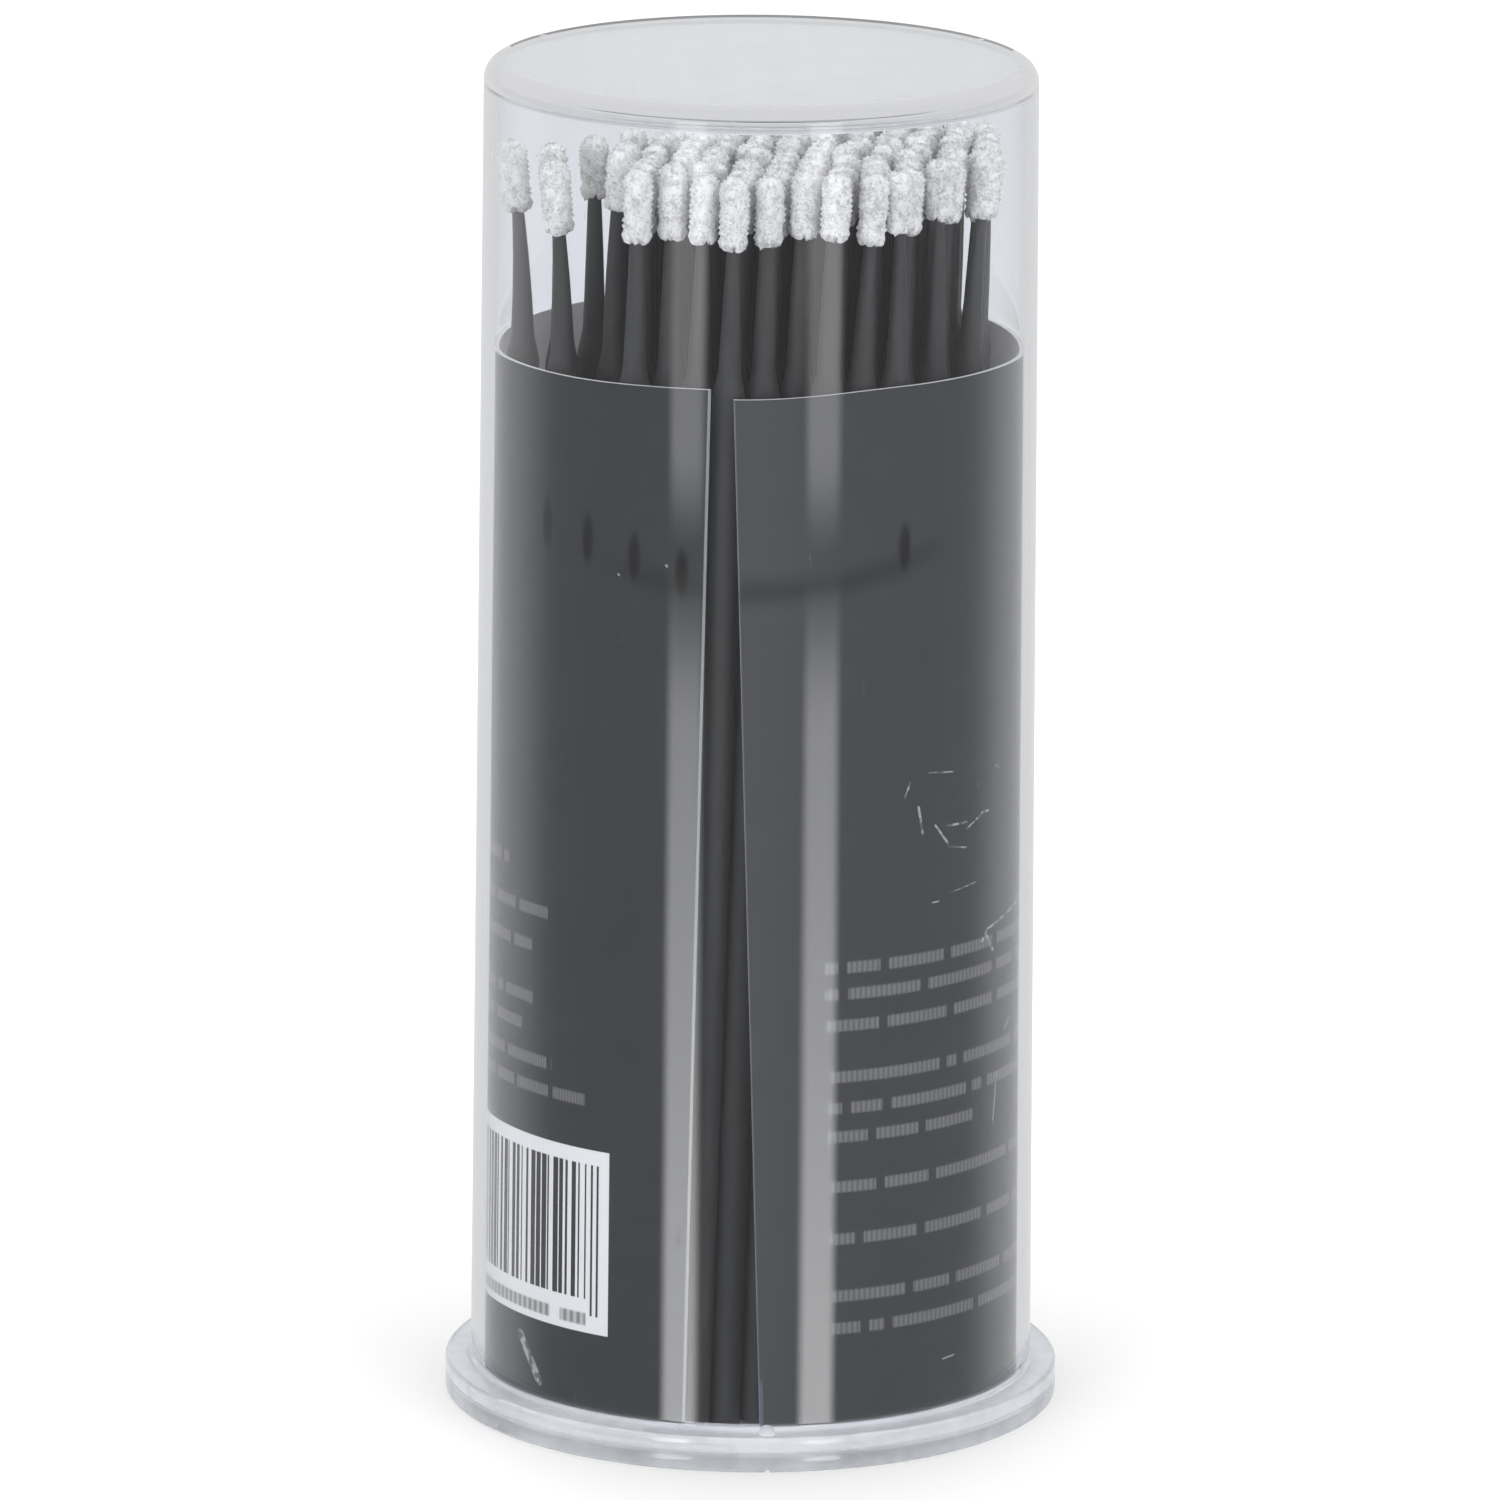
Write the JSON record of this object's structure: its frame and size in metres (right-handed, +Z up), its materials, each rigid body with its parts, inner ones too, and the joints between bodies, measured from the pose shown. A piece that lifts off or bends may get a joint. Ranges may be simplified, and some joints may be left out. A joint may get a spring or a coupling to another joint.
{
  "type": "tub of micro applicators",
  "caption": "Clear plastic tub standing mouth down on its press-in lid, with a dark rolled sheet inside its wall, full of black micro applicators with white flocked heads.",
  "frame": {"origin": "middle of the lid's flat underside, on the tub's axis", "axes": "+Z up along the tub's axis towards its closed end, -Y towards the gate mark on the flange, +X to the right of it"},
  "size_m": [0.0486, 0.0485, 0.107],
  "materials": {
    "clear_plastic": "clear and polished, with a faint blue-grey tint at its edges",
    "printed_sheet": null,
    "black_plastic": "moulded, half gloss",
    "flock": "short white flocked fibres"
  },
  "bodies": {
    "lid_with_applicators": {"lid": "clear_plastic", "handles_row_01": "black_plastic", "handles_row_02": "black_plastic", "handles_row_03": "black_plastic", "handles_row_04": "black_plastic", "handles_row_05": "black_plastic", "handles_row_06": "black_plastic", "handles_row_07": "black_plastic", "handles_row_08": "black_plastic", "handles_row_09": "black_plastic", "handles_row_10": "black_plastic", "loose_handle_1": "black_plastic", "loose_handle_2": "black_plastic", "loose_handle_3": "black_plastic", "heads_row_01": "flock", "heads_row_02": "flock", "heads_row_03": "flock", "heads_row_04": "flock", "heads_row_05": "flock", "heads_row_06": "flock", "heads_row_07": "flock", "heads_row_08": "flock", "heads_row_09": "flock", "heads_row_10": "flock", "loose_head_1": "flock", "loose_head_2": "flock", "loose_head_3": "flock"},
    "tub_with_sheet": {"tub": "clear_plastic", "label": "printed_sheet"}
  },
  "joints": [
    {"name": "tub_lift", "type": "slide", "parent": "lid_with_applicators", "child": "tub_with_sheet", "axis": [0, 0, 1], "range_m": [0, 0.11]}
  ]
}
